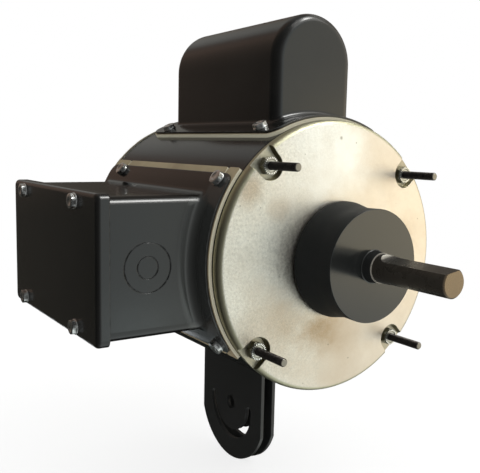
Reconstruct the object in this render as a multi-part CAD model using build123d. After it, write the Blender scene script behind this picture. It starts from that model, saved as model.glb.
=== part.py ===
# Single-phase fan and blower motor with a yoke mount, in millimetres, +Z up.
# The shaft lies along Y and points to -Y, the conduit box is on -X, the capacitor
# cover on top and the yoke below. The origin is the centre of the yoke's pivot hole.
# Depths along Y are counted from the front rim plane, the flat of the front end
# shield's rim, and the finished pieces are moved to the pivot at the end.
import os
from math import asin, cos, degrees, radians, sin, sqrt

from build123d import *

os.makedirs("parts", exist_ok=True)

# Pivot hole below the shell and behind the front rim plane
yoke_reach = 40.8
pivot_back = 102.7

# Shell, a rolled steel tube
shell_r = 82.0
shell_wall = 2.0
shell_length = 165.5

# End shields, die-cast aluminium
rim_proud = 0.5
rim_depth = 7.0
rim_round = 3.5
dome_rise = 3.3
dome_flat_r = 38.0
shield_wall = 6.5
spigot_depth = 6.0
spigot_wall = 4.5
spigot_gap = 0.05
boss_wall = 5.5
boss_spare = 0.5
seat_depth = 4.2
shield_bore_r = 13.0
rear_recess = 3.0

# Through bolts and the pockets they stand in
bolt_r = 2.413
bolt_shank_r = 2.2
thread_clear = 0.1
bolt_inset = 5.4
bolt_turn = -3.0
bolt_proud = 25.8
bolt_tip_chamfer = 0.6
bolt_hole_gap = 0.3
lug_wall = 2.4
pocket_r = 8.0
pocket_flare = 1.3
pocket_floor = 3.2
nut_flats = 9.53
nut_height = 3.9
tooth_washer_r = 5.1
tooth_washer_height = 1.0
tooth_count = 24
tooth_depth = 0.45
bolt_head_flats = 9.53
bolt_head_height = 3.6
nut_bore_gap = 0.05

# Ball bearings, both ends alike
bearing_r = 20.0
bearing_bore_r = 8.5
bearing_width = 12.0
ball_r = 3.37
ball_circle_r = 14.25
ball_count = 8
race_gap = 0.05
outer_land_r = 16.7
inner_land_r = 11.9
cage_wall = 1.8
cage_width = 8.4
cage_gap = 0.12
spring_height = 1.4
spring_sheet = 0.5
spring_width = 3.6
spring_gap = 0.4
seat_fit = 0.02

# Shaft
shaft_r = 7.9375
shaft_proud = 90.4
shaft_chamfer = 0.8
core_seat_r = 11.0
flat_height = 5.9
flat_length = 50.5
flat_cutter_r = 9.0
flat_turn = 10.0

# Slinger cup on the shaft
slinger_front_r = 32.7
slinger_lip_r = 34.9
slinger_waist_r = 32.3
slinger_front = 33.8
slinger_lip = 5.1
slinger_lip_round = 1.2
slinger_wall = 3.4
slinger_web = 4.0
slinger_sleeve_r = 13.0
slinger_neck_r = 9.2
slinger_neck_tip_r = 8.7
slinger_neck = 6.5
slinger_seat_r = 8.2

# Stator and rotor
stack_lead = 45.0
stack_tail = 50.5
back_iron = 14.0
slot_depth = 20.5
slot_count = 24
slot_mouth = 3.0
tooth_tip = 2.2
tooth_width = 5.2
slot_liner = 0.4
bolt_notch_gap = 0.8
end_turn_length = 22.0
end_turn_spread = 3.0
end_turn_clear = 5.0
end_turn_round = 7.0
end_turn_stand_off = 1.0
air_gap = 0.4
bar_count = 28
bar_r = 2.4
bar_inset = 4.6
end_ring_depth = 10.5
end_ring_lip = 0.8
end_ring_height = 9.0
fan_blade_count = 7
fan_blade_height = 9.0
fan_blade_thickness = 3.0
fan_blade_inset = 1.5

# Sheet-metal covers, their saddle flanges and their gaskets
gasket = 2.3
gasket_edge = 1.0
sheet = 1.5
screw_washer_r = 4.5
screw_washer_height = 0.9
screw_flats = 7.94
screw_head_height = 2.4
screw_head_chamfer = 0.5
screw_shank_r = 2.0
screw_reach = 4.5
screw_hole_gap = 0.2
gasket_hole_gap = 1.1

# Capacitor cover on top
cap_half_width = 30.0
cap_rise = 65.2
cap_front = 24.5
cap_tail = 23.5
cap_edge_round = 6.0
cap_root_round = 3.0
cap_flange = 13.2
cap_saddle_lead = 2.6
cap_saddle_tail = 9.5
cap_saddle_corner = 8.0
cap_screw_out = 8.2
cap_screw_front = 27.6
cap_screw_tail = 20.0
cap_window_side = 2.2
cap_window_end = 4.0

# Run capacitor inside it
can_r = 22.0
can_lead = 11.5
can_tail = 25.0
can_lift = 4.0
can_round = 2.5
tab_width = 6.35
tab_thickness = 0.8
tab_length = 9.0
tab_spacing = 16.0
pad_width = 22.0
pad_length = 60.0
strap_sheet = 0.8
strap_width = 14.0
strap_foot = 4.5
strap_gap = 0.1
cap_lead_hole_r = 6.0
cap_lead_hole_tail = 10.0

# Conduit box on the left
box_depth = 61.5
box_front = 22.9
box_tail = 6.2
box_half_height = 39.5
box_drop = 1.2
box_edge_round = 6.0
box_root_round = 5.0
box_flange = 14.4
box_saddle_lead = 1.3
box_saddle_tail = 2.5
box_saddle_corner = 6.0
box_screw_out = 10.2
box_screw_front = 19.1
box_screw_tail = 20.5
strip_margin = 5.4
strip_width = 11.2
strip_gap = 1.4
strip_corner = 1.6
knockout_out = 31.3
knockout_rise = -0.8
knockout_r = 14.2
knockout_inner_r = 6.5
knockout_line = 0.5
knockout_depth = 0.4
ear_width = 14.0
ear_depth = 11.0

# Box cover, a shallow pan over the box's rim
cover_rim = 7.5
cover_gap = 0.4
cover_edge_round = 2.5
cover_corner = 4.5
cover_gasket = 1.5
cover_gasket_width = 11.0
cover_screw_front = 52.5
cover_screw_tail = 22.0
cover_screw_inset = 4.1

# Terminal board in the box
board_lead = 15.0
board_length = 56.0
board_half_height = 19.0
board_thickness = 3.2
board_stand_off = 11.0
post_r = 5.0
post_inset = 7.5
terminal_rows = 4
terminal_base = 9.0
terminal_rise = 8.5
lead_hole_r = 11.0
lead_hole_tail = 22.0
grommet_wall = 2.0
grommet_lip = 2.5
grommet_lip_height = 2.2
ground_out = 21.5

# Yoke plates
yoke_gap = 6.8
yoke_sheet = 2.5
yoke_half_width = 38.8
yoke_bottom_r = 41.5
yoke_hole_r = 5.15
slot_inner_r = 20.2
slot_outer_r = 26.7
yoke_foot = 17.0

# Levels that follow from the sizes above
shell_front = rim_depth
shell_rear = shell_front + shell_length
rear_plane = shell_rear + rim_depth
shell_in_r = shell_r - shell_wall
shield_r = shell_r + rim_proud
spigot_r = shell_in_r - spigot_gap
front_bearing = seat_depth
rear_bearing = rear_plane - seat_depth - spring_height - bearing_width
gasket_r = shell_r + gasket
saddle_r = gasket_r + sheet
pivot_drop = shell_r + yoke_reach
bolt_circle_r = shell_in_r - bolt_inset
bolt_angles = [45 + 90 * k + bolt_turn for k in range(4)]
slot_bottom_r = shell_in_r - back_iron
stator_bore_r = slot_bottom_r - slot_depth
stack_front = shell_front + stack_lead
stack_rear = shell_rear - stack_tail
cap_top = shell_r + cap_rise
cap_rear = shell_rear - cap_tail
cap_saddle_front = shell_front + cap_saddle_lead
cap_saddle_rear = shell_rear - cap_saddle_tail
cap_screw_rear = cap_saddle_rear - cap_screw_tail
cap_wall_turn = degrees(asin(cap_half_width / saddle_r))
cap_saddle_half = cap_wall_turn + degrees(cap_flange / saddle_r)
cap_screw_half = cap_wall_turn + degrees(cap_screw_out / saddle_r)
cover_face = shell_r + box_depth
cover_inside = cover_face - sheet
box_rim = cover_inside - cover_gasket
box_rear = shell_rear - box_tail
box_mid = (box_front + box_rear) / 2
box_length = box_rear - box_front
box_saddle_front = shell_front + box_saddle_lead
box_saddle_rear = shell_rear - box_saddle_tail
box_screw_rear = box_saddle_rear - box_screw_tail
box_saddle_mid = 180 + degrees(asin(box_drop / saddle_r))
box_wall_turn = degrees(asin(box_half_height / saddle_r))
box_saddle_half = box_wall_turn + degrees(box_flange / saddle_r)
box_screw_half = box_wall_turn + degrees(box_screw_out / saddle_r)
cover_screw_rear = box_rear - cover_screw_tail
cover_screw_half = box_half_height - cover_screw_inset
board_front = box_front + board_lead
board_rear = board_front + board_length
lead_hole_back = box_rear - lead_hole_tail
ground_turn = degrees(ground_out / shell_r)


# A sketch drawn in X and Z, carried along the shaft from one depth to another
def carried(sketch, y0, y1):
    return extrude(Plane.XZ.offset(-y0) * sketch, amount=y0 - y1)


# A round bar along the shaft
def disc(r, y0, y1, x=0, z=0):
    return carried(Pos(x, z) * Circle(r), y0, y1)


# A round ring along the shaft
def ring(r_out, r_in, y0, y1):
    return carried(Circle(r_out) - Circle(r_in), y0, y1)


# A profile of radius and depth, turned about the shaft, with a radius for each corner
def turned(points, rounds=0.0, arc=360):
    return revolve(make_face(FilletPolyline(*points, radius=rounds, close=True)), Axis.Y, arc)


# The place on a radius at an angle in X and Z, looking outwards
def outward(angle, r, y):
    out = (cos(radians(angle)), 0, sin(radians(angle)))
    return Plane((r * out[0], y, r * out[2]), x_dir=(0, 1, 0), z_dir=out).location


# A curved strip about the shaft, either side of an angle, with rounded corners
def saddle(r_in, r_out, mid, half, y0, y1, corner):
    side = r_out - r_in
    face = Pos((r_in + r_out) / 2, (y0 + y1) / 2) * Rectangle(side, y1 - y0)
    strip = Rot(0, -(mid + half), 0) * revolve(face, Axis.Y, 2 * half)
    corners = strip.edges().filter_by(GeomType.LINE).filter_by(lambda e: abs(e.length - side) < 0.001)
    return fillet(corners, corner)


# A prism along X, drawn in Y and Z
def across(sketch, x0, x1):
    return extrude(Plane.YZ.offset(x0) * sketch, amount=x1 - x0)


# A hexagon bar with its top corners broken, standing on the ground plane
def hex_bar(flats, height, chamfer_size):
    bar = extrude(RegularPolygon(flats / 2, 6, major_radius=False), amount=height)
    return chamfer(bar.faces().sort_by(Axis.Z)[-1].edges(), chamfer_size)


# A hexagon screw with a washer face, its seat on the ground plane
def hex_screw(reach):
    head = Pos(0, 0, screw_washer_height) * hex_bar(screw_flats, screw_head_height, screw_head_chamfer)
    washer = extrude(Circle(screw_washer_r), amount=screw_washer_height)
    shank = extrude(Circle(screw_shank_r), amount=-reach)
    return washer + head + shank


# The four corners of a saddle where its screws stand, as angle and depth
def saddle_screws(mid, half, front, rear):
    return [(mid + side * half, y) for side in (-1, 1) for y in (front, rear)]


# Holes for those screws, from the shell out
def screw_holes(spots, r):
    hole = extrude(Circle(r), amount=2 * (gasket + sheet + shell_wall), both=True)
    return [outward(a, saddle_r, y) * hole for a, y in spots]


nodes = {}
cap_spots = saddle_screws(90, cap_screw_half, cap_screw_front, cap_screw_rear)
box_spots = saddle_screws(box_saddle_mid, box_screw_half, box_screw_front, box_screw_rear)
screw_hole_r = screw_shank_r + screw_hole_gap
gasket_hole_r = screw_shank_r + gasket_hole_gap

# Shell with its lead holes and the holes of the saddle screws
post_spots = [board_front + post_inset, board_rear - post_inset]
shell = ring(shell_r, shell_in_r, shell_front, shell_rear)
shell -= across(Pos(lead_hole_back, 0) * Circle(lead_hole_r), -shell_r - 1, -shell_in_r / 2)
cap_lead_hole = Pos(0, cap_rear - cap_lead_hole_tail) * Circle(cap_lead_hole_r)
shell -= extrude(Plane.XY.offset(shell_in_r / 2) * cap_lead_hole, amount=shell_r)
shell -= screw_holes(cap_spots + box_spots, screw_hole_r)
shell -= screw_holes([(180, y) for y in post_spots], screw_hole_r)
shell -= screw_holes([(180 - ground_turn, lead_hole_back)], screw_hole_r)
nodes["motor_shell"] = shell


# An end shield facing -Y: a shallow dome with a rounded rim, a spigot that enters the
# shell, a bearing seat, and a pocket open to the rim round each bolt
def end_shield(centre):
    boss_r = bearing_r + boss_wall
    boss_end = seat_depth + spring_height + bearing_width + boss_spare
    spigot_in = spigot_r - spigot_wall
    spigot_end = rim_depth + spigot_depth
    web_out = shield_wall
    web_in = shield_wall - dome_rise
    seat_r = bearing_r + seat_fit
    outline = [
        (dome_flat_r, -dome_rise),
        (shield_r, 0),
        (shield_r, rim_depth),
        (spigot_r, rim_depth),
        (spigot_r, spigot_end),
        (spigot_in, spigot_end),
        (spigot_in, web_out),
        (boss_r, web_in),
        (boss_r, boss_end),
        (seat_r, boss_end),
    ]
    rounds = [2 * rim_round, rim_round, 0, 0, 0, 0, 1.5, 1.5, 1, 0]
    outline += centre
    rounds += [0] * len(centre)
    shield = turned(outline, rounds)
    pocket = Circle(pocket_r)
    pocket += make_face(Polyline(
        (0, -pocket_r),
        (shield_r - bolt_circle_r + 2, -pocket_r - pocket_flare),
        (shield_r - bolt_circle_r + 2, pocket_r + pocket_flare),
        (0, pocket_r),
        close=True,
    ))
    for angle in bolt_angles:
        spot = Rot(0, 0, angle) * Pos(bolt_circle_r, 0)
        shield += carried(spot * Circle(bolt_r + bolt_hole_gap + lug_wall), pocket_floor, spigot_end)
        shield -= carried(spot * pocket, -2 * dome_rise, pocket_floor)
        shield -= carried(spot * Circle(bolt_r + bolt_hole_gap), -2 * dome_rise, spigot_end + 1)
    return shield


front_centre = [
    (bearing_r + seat_fit, seat_depth),
    (shield_bore_r, seat_depth),
    (shield_bore_r, -dome_rise),
]
rear_centre = [
    (bearing_r + seat_fit, seat_depth),
    (shield_bore_r, seat_depth),
    (shield_bore_r, seat_depth - rear_recess),
    (0, seat_depth - rear_recess),
    (0, -dome_rise),
]
nodes["front_end_shield"] = end_shield(front_centre)
nodes["rear_end_shield"] = Pos(0, rear_plane, 0) * mirror(end_shield(rear_centre), Plane.XZ)

# Through bolts from the rear shield to well past the front one, with nuts and toothed
# washers in the front pockets. The full thread shows in front of the washers. Behind them
# the rods, nuts and washers meet on the radius of the rolled blank.
bolt_seat = rear_plane - pocket_floor
bolts = []
nuts = []
washers = []
nut_face = pocket_floor - nut_height
washer_face = nut_face - tooth_washer_height
thread_end = washer_face - thread_clear
nut_bore_r = bolt_shank_r + nut_bore_gap
tooth_angle = 360 / tooth_count
tooth_gap = Pos(tooth_washer_r, 0) * Circle(tooth_depth)
tooth_gaps = [Rot(0, 0, k * tooth_angle) * tooth_gap for k in range(tooth_count)]
tooth_washer = Circle(tooth_washer_r) - Circle(nut_bore_r) - tooth_gaps
for angle in bolt_angles:
    x = bolt_circle_r * cos(radians(angle))
    z = bolt_circle_r * sin(radians(angle))
    rod = disc(bolt_r, -bolt_proud, thread_end, x, z)
    rod = chamfer(rod.edges().sort_by(Axis.Y)[0], bolt_tip_chamfer)
    rod += disc(bolt_shank_r, thread_end, bolt_seat, x, z)
    turn = Pos(x, bolt_seat, z) * Rot(-90, 0, 0) * Rot(0, 0, angle)
    bolts.append(rod + turn * hex_bar(bolt_head_flats, bolt_head_height, screw_head_chamfer))
    turn = Pos(x, pocket_floor, z) * Rot(90, 0, 0) * Rot(0, 0, angle)
    nut = turn * hex_bar(nut_flats, nut_height, screw_head_chamfer)
    nuts.append(nut - disc(nut_bore_r, -bolt_proud, pocket_floor, x, z))
    washers.append(carried(Pos(x, z) * tooth_washer, washer_face, nut_face))
nodes["through_bolts"] = bolts
nodes["stud_nuts"] = nuts
nodes["toothed_washers"] = washers


# One ball bearing from a depth on: outer race, inner race, balls and their cage
def bearing(front):
    rear = front + bearing_width
    mid = (front + rear) / 2
    groove = revolve(Pos(ball_circle_r, mid) * Circle(ball_r + race_gap), Axis.Y)
    outer = ring(bearing_r, outer_land_r, front, rear) - groove
    inner = ring(inner_land_r, bearing_bore_r + seat_fit, front, rear) - groove
    half = cage_width / 2
    cage = ring(ball_circle_r + cage_wall / 2, ball_circle_r - cage_wall / 2, mid - half, mid + half)
    balls = []
    for k in range(ball_count):
        spot = Rot(0, 360 * k / ball_count, 0) * Pos(ball_circle_r, mid, 0)
        balls.append(spot * Sphere(ball_r))
        cage -= spot * Rot(0, 90, 0) * Cylinder(ball_r + cage_gap, 2 * cage_wall)
    return outer, inner, balls, cage


for end, depth in (("front", front_bearing), ("rear", rear_bearing)):
    outer, inner, balls, cage = bearing(depth)
    nodes[end + "_bearing_outer"] = outer
    nodes[end + "_bearing_inner"] = inner
    nodes[end + "_bearing_balls"] = balls
    nodes[end + "_bearing_cage"] = cage

# Curved spring washer between the rear bearing and its seat, pressed to the room it has
spring_r = bearing_r - spring_gap
spring_sag = spring_height - spring_sheet
spring_bend_r = (spring_r ** 2 + spring_sag ** 2) / (2 * spring_sag)
spring_top = rear_plane - seat_depth
spring_bow = Circle(spring_bend_r) - Circle(spring_bend_r - spring_sheet)
spring_bow = Pos(spring_top - spring_bend_r, 0) * spring_bow
spring_band = ring(spring_r, spring_r - spring_width, spring_top - spring_height, spring_top)
nodes["spring_washer"] = spring_band & across(spring_bow, -spring_r, spring_r)

# Shaft: drive end with a milled flat, bearing seats and the rotor seat between them. The
# ground fit ends where the flat runs out, and the bar behind it is a little thicker. The
# profile is turned from the top, where the flat is cut.
shaft_end = rear_bearing + bearing_width
flat_end = flat_length - shaft_proud
fit_end = flat_end - flat_cutter_r
seat_front = front_bearing + bearing_width
shaft = turned([
    (0, -shaft_proud),
    (shaft_r - shaft_chamfer, -shaft_proud),
    (shaft_r, shaft_chamfer - shaft_proud),
    (shaft_r, fit_end),
    (slinger_seat_r, fit_end),
    (slinger_seat_r, front_bearing),
    (bearing_bore_r, front_bearing),
    (bearing_bore_r, seat_front),
    (core_seat_r, seat_front),
    (core_seat_r, rear_bearing),
    (bearing_bore_r, rear_bearing),
    (bearing_bore_r, shaft_end - shaft_chamfer),
    (bearing_bore_r - shaft_chamfer, shaft_end),
    (0, shaft_end),
])
flat_cut = SlotCenterToCenter(4 * flat_length, 2 * flat_cutter_r)
flat_cut = Pos(flat_end - flat_cutter_r - 2 * flat_length, flat_height + flat_cutter_r) * flat_cut
flat_tool = across(flat_cut, -2 * shaft_r, 2 * shaft_r)
nodes["shaft"] = Rot(0, -flat_turn, 0) * (Rot(0, -90, 0) * shaft - flat_tool)

# Slinger: a rubber cup open to the end shield, with a sleeve and a tapered neck on the shaft
sleeve_end = (slinger_front + slinger_lip) / 2
slinger_mid = (slinger_front + slinger_lip) / 2
nodes["slinger"] = turned(
    [
        (slinger_seat_r, -slinger_front - slinger_neck),
        (slinger_neck_tip_r, -slinger_front - slinger_neck),
        (slinger_neck_r, -slinger_front),
        (slinger_front_r, -slinger_front),
        (slinger_waist_r, -slinger_mid),
        (slinger_lip_r, -slinger_lip - 2 * slinger_lip_round),
        (slinger_lip_r, -slinger_lip),
        (slinger_lip_r - slinger_wall, -slinger_lip),
        (slinger_waist_r - slinger_wall, -slinger_mid),
        (slinger_front_r - slinger_wall, -slinger_front + slinger_web),
        (slinger_sleeve_r, -slinger_front + slinger_web),
        (slinger_sleeve_r, -sleeve_end),
        (slinger_seat_r, -sleeve_end),
    ],
    [0, 0, 0.8, 0.4, 30, slinger_lip_round, 0.5, 0.5, 30, 2, 2, 0.5, 0],
)

# Stator stack with open slots, notched on the outside for the bolts
slot_angle = 360 / slot_count
tooth_root_r = stator_bore_r + tooth_tip
slot_in = tooth_root_r * sin(radians(slot_angle / 2)) - tooth_width / 2
slot_out = slot_bottom_r * sin(radians(slot_angle / 2)) - tooth_width / 2
slot_points = [(tooth_root_r, -slot_in), (slot_bottom_r, -slot_out)]
slot_points += [(slot_bottom_r, slot_out), (tooth_root_r, slot_in)]
slot_shape = make_face(Polyline(*slot_points, close=True))
slot_shape += Pos(stator_bore_r + tooth_tip / 2, 0) * Rectangle(2 * tooth_tip, slot_mouth)
slot_turns = [Rot(0, 0, k * slot_angle) for k in range(slot_count)]
notch_r = bolt_r + bolt_notch_gap
notch = Circle(notch_r) + Pos(notch_r, 0) * Rectangle(2 * notch_r, 2 * notch_r)
stack = Circle(shell_in_r - seat_fit) - Circle(stator_bore_r)
stack -= [turn * slot_shape for turn in slot_turns]
stack -= [Rot(0, 0, a) * Pos(bolt_circle_r, 0) * notch for a in bolt_angles]
nodes["stator_core"] = carried(stack, stack_front, stack_rear)

# Winding: a conductor bundle in each slot, joined by the end turns
bundle_points = [
    (tooth_root_r + slot_liner, -slot_in + slot_liner),
    (slot_bottom_r - slot_liner, -slot_out + slot_liner),
    (slot_bottom_r - slot_liner, slot_out - slot_liner),
    (tooth_root_r + slot_liner, slot_in - slot_liner),
]
bundle = make_face(Polyline(*bundle_points, close=True))
turn_front = stack_front - end_turn_stand_off
turn_rear = stack_rear + end_turn_stand_off
winding = carried(Sketch() + [turn * bundle for turn in slot_turns], turn_front - 1, turn_rear + 1)
end_round = [end_turn_round, end_turn_round, 1, 1]
end_turn_in = stator_bore_r + end_turn_clear
end_turn_out = slot_bottom_r + end_turn_spread
for near, far in ((turn_front, turn_front - end_turn_length), (turn_rear, turn_rear + end_turn_length)):
    far_side = [(end_turn_in, far), (end_turn_out, far)]
    near_side = [(end_turn_out, near), (end_turn_in, near)]
    winding += turned(far_side + near_side, end_round)
nodes["stator_winding"] = winding

# Rotor stack and the aluminium cage cast into it, with fan blades on the end rings
rotor_r = stator_bore_r - air_gap
bar_circle_r = rotor_r - bar_inset
bar_spots = PolarLocations(bar_circle_r, bar_count)
bars = [spot * Circle(bar_r) for spot in bar_spots]
rotor = Circle(rotor_r) - Circle(core_seat_r + seat_fit) - bars
nodes["rotor_core"] = carried(rotor, stack_front, stack_rear)
ring_front = stack_front - end_ring_height
ring_rear = stack_rear + end_ring_height
end_ring_r = bar_circle_r + bar_r + end_ring_lip
end_ring_in = bar_circle_r - end_ring_depth
cage = carried(Sketch() + bars, stack_front, stack_rear)
cage += ring(end_ring_r, end_ring_in, ring_front, stack_front)
cage += ring(end_ring_r, end_ring_in, stack_rear, ring_rear)
blade_length = end_ring_r - end_ring_in - 2 * fan_blade_inset
blade_mid = (end_ring_r + end_ring_in) / 2
blade = Rectangle(blade_length, fan_blade_thickness)
blades = [spot * blade for spot in PolarLocations(blade_mid, fan_blade_count)]
for y0, y1 in ((ring_front - fan_blade_height, ring_front), (ring_rear, ring_rear + fan_blade_height)):
    cage += carried(Sketch() + blades, y0, y1)
nodes["rotor_cage"] = cage


# A drawn cover whose wall flares into a saddle flange that hugs the shell. The sheet
# keeps its thickness round the flare: the outer side is rounded by root, the inner by
# root and the sheet together.
def drawn_cover(outer, inner, root, mid, half, front, rear, corner):
    skin = outer + disc(saddle_r, front, rear)
    skin = fillet(root_edges(skin, saddle_r, front, rear), root)
    hollow = inner + disc(gasket_r, front - 1, rear + 1)
    hollow = fillet(root_edges(hollow, gasket_r, front - 1, rear + 1), root + sheet)
    reach = 2 * cover_face
    return (skin - hollow) & saddle(gasket_r - 1, reach, mid, half, front, rear, corner)


# The edges where a wall meets a round bar about the shaft, away from the bar's ends
def root_edges(solid, r, front, rear):
    found = []
    for edge in solid.edges():
        spots = [edge @ t for t in (0, 0.25, 0.5, 0.75, 1)]
        on_bar = all(abs(sqrt(p.X ** 2 + p.Z ** 2) - r) < 0.01 for p in spots)
        inside = all(front + 0.5 < p.Y < rear - 0.5 for p in spots)
        if on_bar and inside:
            found.append(edge)
    return found


# Capacitor cover: an arch with rounded ends
def arch(half_width, top, y0, y1, edge):
    shape = Pos(0, top - half_width) * Circle(half_width) + Pos(0, (top - half_width) / 2) * Rectangle(
        2 * half_width, top - half_width)
    block = carried(shape, y0, y1)
    ends = block.faces().sort_by(Axis.Y)
    rims = (ends[0].edges() + ends[-1].edges()).filter_by(lambda e: e.center().Z > 0.01)
    return fillet(rims, edge)


cap_outer = arch(cap_half_width, cap_top, cap_front, cap_rear, cap_edge_round)
cap_inner = arch(cap_half_width - sheet, cap_top - sheet, cap_front + sheet, cap_rear - sheet,
                 cap_edge_round - sheet)
cap_cover = drawn_cover(cap_outer, cap_inner, cap_root_round, 90, cap_saddle_half,
                        cap_saddle_front, cap_saddle_rear, cap_saddle_corner)
nodes["capacitor_cover"] = cap_cover - screw_holes(cap_spots, screw_hole_r)
# The gasket's window stands clear of the flare, so that the gasket lies on the flange alone
window_width = 2 * (cap_half_width + cap_window_side)
window_length = cap_rear - cap_front + 2 * cap_window_end
cap_window = Pos(0, 0, cap_top / 2) * Box(window_width, window_length, cap_top)
cap_window = Pos(0, (cap_front + cap_rear) / 2, 0) * cap_window
edge_angle = degrees(gasket_edge / shell_r)
cap_gasket = saddle(shell_r, gasket_r, 90, cap_saddle_half + edge_angle, cap_saddle_front - gasket_edge,
                    cap_saddle_rear + gasket_edge, cap_saddle_corner + gasket_edge)
nodes["capacitor_gasket"] = cap_gasket - cap_window - screw_holes(cap_spots, gasket_hole_r)
saddle_reach = gasket + sheet + shell_wall + screw_reach
nodes["capacitor_cover_screws"] = [outward(a, saddle_r, y) * hex_screw(saddle_reach) for a, y in cap_spots]

# Run capacitor on a pad, held down by a strap
can_z = shell_r + can_lift + can_r
can_front = cap_front + can_lead
can_rear = cap_rear - can_tail
can = disc(can_r, can_front, can_rear, 0, can_z)
nodes["capacitor"] = fillet(can.edges().filter_by(GeomType.CIRCLE), can_round)
tabs = []
for side in (-1, 1):
    tab = Pos(side * tab_spacing / 2, can_z) * Rectangle(tab_thickness, tab_width)
    tab = carried(tab, can_rear, can_rear + tab_length)
    tabs.append(chamfer(tab.faces().sort_by(Axis.Y)[-1].edges().filter_by(Axis.X), tab_width / 4))
nodes["capacitor_tabs"] = tabs
can_mid = (can_front + can_rear) / 2
pad = Pos(0, can_mid, can_z - can_r) * Box(pad_width, pad_length, 2 * can_r)
pad -= disc(shell_r, can_front - 1, can_rear + 1)
pad -= disc(can_r, can_front - 1, can_rear + 1, 0, can_z)
nodes["capacitor_pad"] = pad.solids().sort_by(Axis.Z)[0]
strap_in = can_r + strap_gap
strap_out = strap_in + strap_sheet
foot_half = degrees(asin((strap_out + strap_foot) / shell_r))
hoop = Pos(0, can_z) * (Circle(strap_out) - Circle(strap_in))
hoop -= Pos(0, can_z - strap_out) * Rectangle(3 * strap_out, 2 * strap_out)
for side in (-1, 1):
    hoop += Pos(side * (strap_in + strap_sheet / 2), can_z / 2) * Rectangle(strap_sheet, can_z)
strap_front = can_mid - strap_width / 2
strap_rear = can_mid + strap_width / 2
strap = carried(hoop, strap_front, strap_rear)
feet = saddle(shell_r, shell_r + strap_sheet, 90, foot_half, strap_front, strap_rear, strap_sheet)
feet -= carried(Pos(0, can_z / 2) * Rectangle(2 * strap_in, can_z), 0, can_rear)
nodes["capacitor_strap"] = strap - disc(shell_r, 0, can_rear) + feet


# Conduit box: a drawn rectangular box flared into its saddle, with ears for the cover's screws
def box_block(inset, x0):
    shape = Pos(box_mid, -box_drop) * RectangleRounded(
        box_length - 2 * inset, 2 * (box_half_height - inset), box_edge_round - inset)
    return across(shape, x0, 0)


box = drawn_cover(box_block(0, -box_rim), box_block(sheet, -box_rim - 1), box_root_round, box_saddle_mid,
                  box_saddle_half, box_saddle_front, box_saddle_rear, box_saddle_corner)
cover_rows = (cover_screw_front, cover_screw_rear)
cover_spots = [(y, -box_drop + side * cover_screw_half) for y in cover_rows for side in (-1, 1)]
ear_mid = box_half_height - sheet / 2 - ear_depth / 2
for y, z in cover_spots:
    side = 1 if z > -box_drop else -1
    ear = Pos(y, -box_drop + side * ear_mid) * Rectangle(ear_width, ear_depth)
    ear -= Pos(y, z) * Circle(screw_hole_r)
    box += across(ear, -box_rim, sheet - box_rim)
for r in (knockout_r, knockout_inner_r):
    line = ring(r, r - knockout_line, box_front - 1, box_front + knockout_depth)
    box -= Pos(-shell_r - knockout_out, 0, knockout_rise) * line
nodes["conduit_box"] = box - screw_holes(box_spots, screw_hole_r)
# Its gasket is foam tape in four strips, butted at the rows of screws. The upper and lower
# strips stand out beyond the flange.
strip_half = box_saddle_half + degrees(strip_margin / gasket_r)
strip_turn = degrees(strip_width / gasket_r)
strip_rows = (box_screw_front + strip_gap / 2, box_screw_rear - strip_gap / 2)
strips = [
    saddle(shell_r, gasket_r, box_saddle_mid, strip_half, y0, y1, strip_corner)
    for y0, y1 in ((box_saddle_front - gasket_edge, strip_rows[0] - strip_gap),
                   (strip_rows[1] + strip_gap, box_saddle_rear + gasket_edge))
]
for side in (-1, 1):
    strip_mid = box_saddle_mid + side * (strip_half - strip_turn / 2)
    strips.append(saddle(shell_r, gasket_r, strip_mid, strip_turn / 2, *strip_rows, strip_corner))
strip_cuts = [box_block(0, -box_rim)] + screw_holes(box_spots, gasket_hole_r)
nodes["box_gasket"] = [strip - strip_cuts for strip in strips]
nodes["box_screws"] = [outward(a, saddle_r, y) * hex_screw(saddle_reach) for a, y in box_spots]

# Box cover: a pan whose rim laps the box, sealed by a flat gasket
pan_length = box_length + 2 * (cover_gap + sheet)
pan_height = 2 * (box_half_height + cover_gap + sheet)
pan_shape = Pos(box_mid, -box_drop) * RectangleRounded(pan_length, pan_height, cover_corner)
pan_in = RectangleRounded(pan_length - 2 * sheet, pan_height - 2 * sheet, cover_corner - sheet)
pan_in = Pos(box_mid, -box_drop) * pan_in
pan = across(pan_shape, -cover_face, cover_rim - cover_face)
pan = fillet(pan.faces().sort_by(Axis.X)[0].edges(), cover_edge_round)
pan -= across(pan_in, -cover_inside, cover_rim - cover_face)
cover_holes = [Pos(y, z) * Circle(screw_hole_r) for y, z in cover_spots]
nodes["box_cover"] = pan - across(Sketch() + cover_holes, -cover_face - 1, -box_rim)
frame = Pos(box_mid, -box_drop) * RectangleRounded(box_length, 2 * box_half_height, box_edge_round)
frame -= Pos(box_mid, -box_drop) * RectangleRounded(
    box_length - 2 * cover_gasket_width, 2 * (box_half_height - cover_gasket_width), box_edge_round)
nodes["cover_gasket"] = across(frame - cover_holes, -cover_inside, -box_rim)
cover_reach = sheet + cover_gasket + sheet + screw_reach
cover_screw = Rot(0, -90, 0) * hex_screw(cover_reach)
nodes["cover_screws"] = [Pos(-cover_face, y, z) * cover_screw for y, z in cover_spots]

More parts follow.
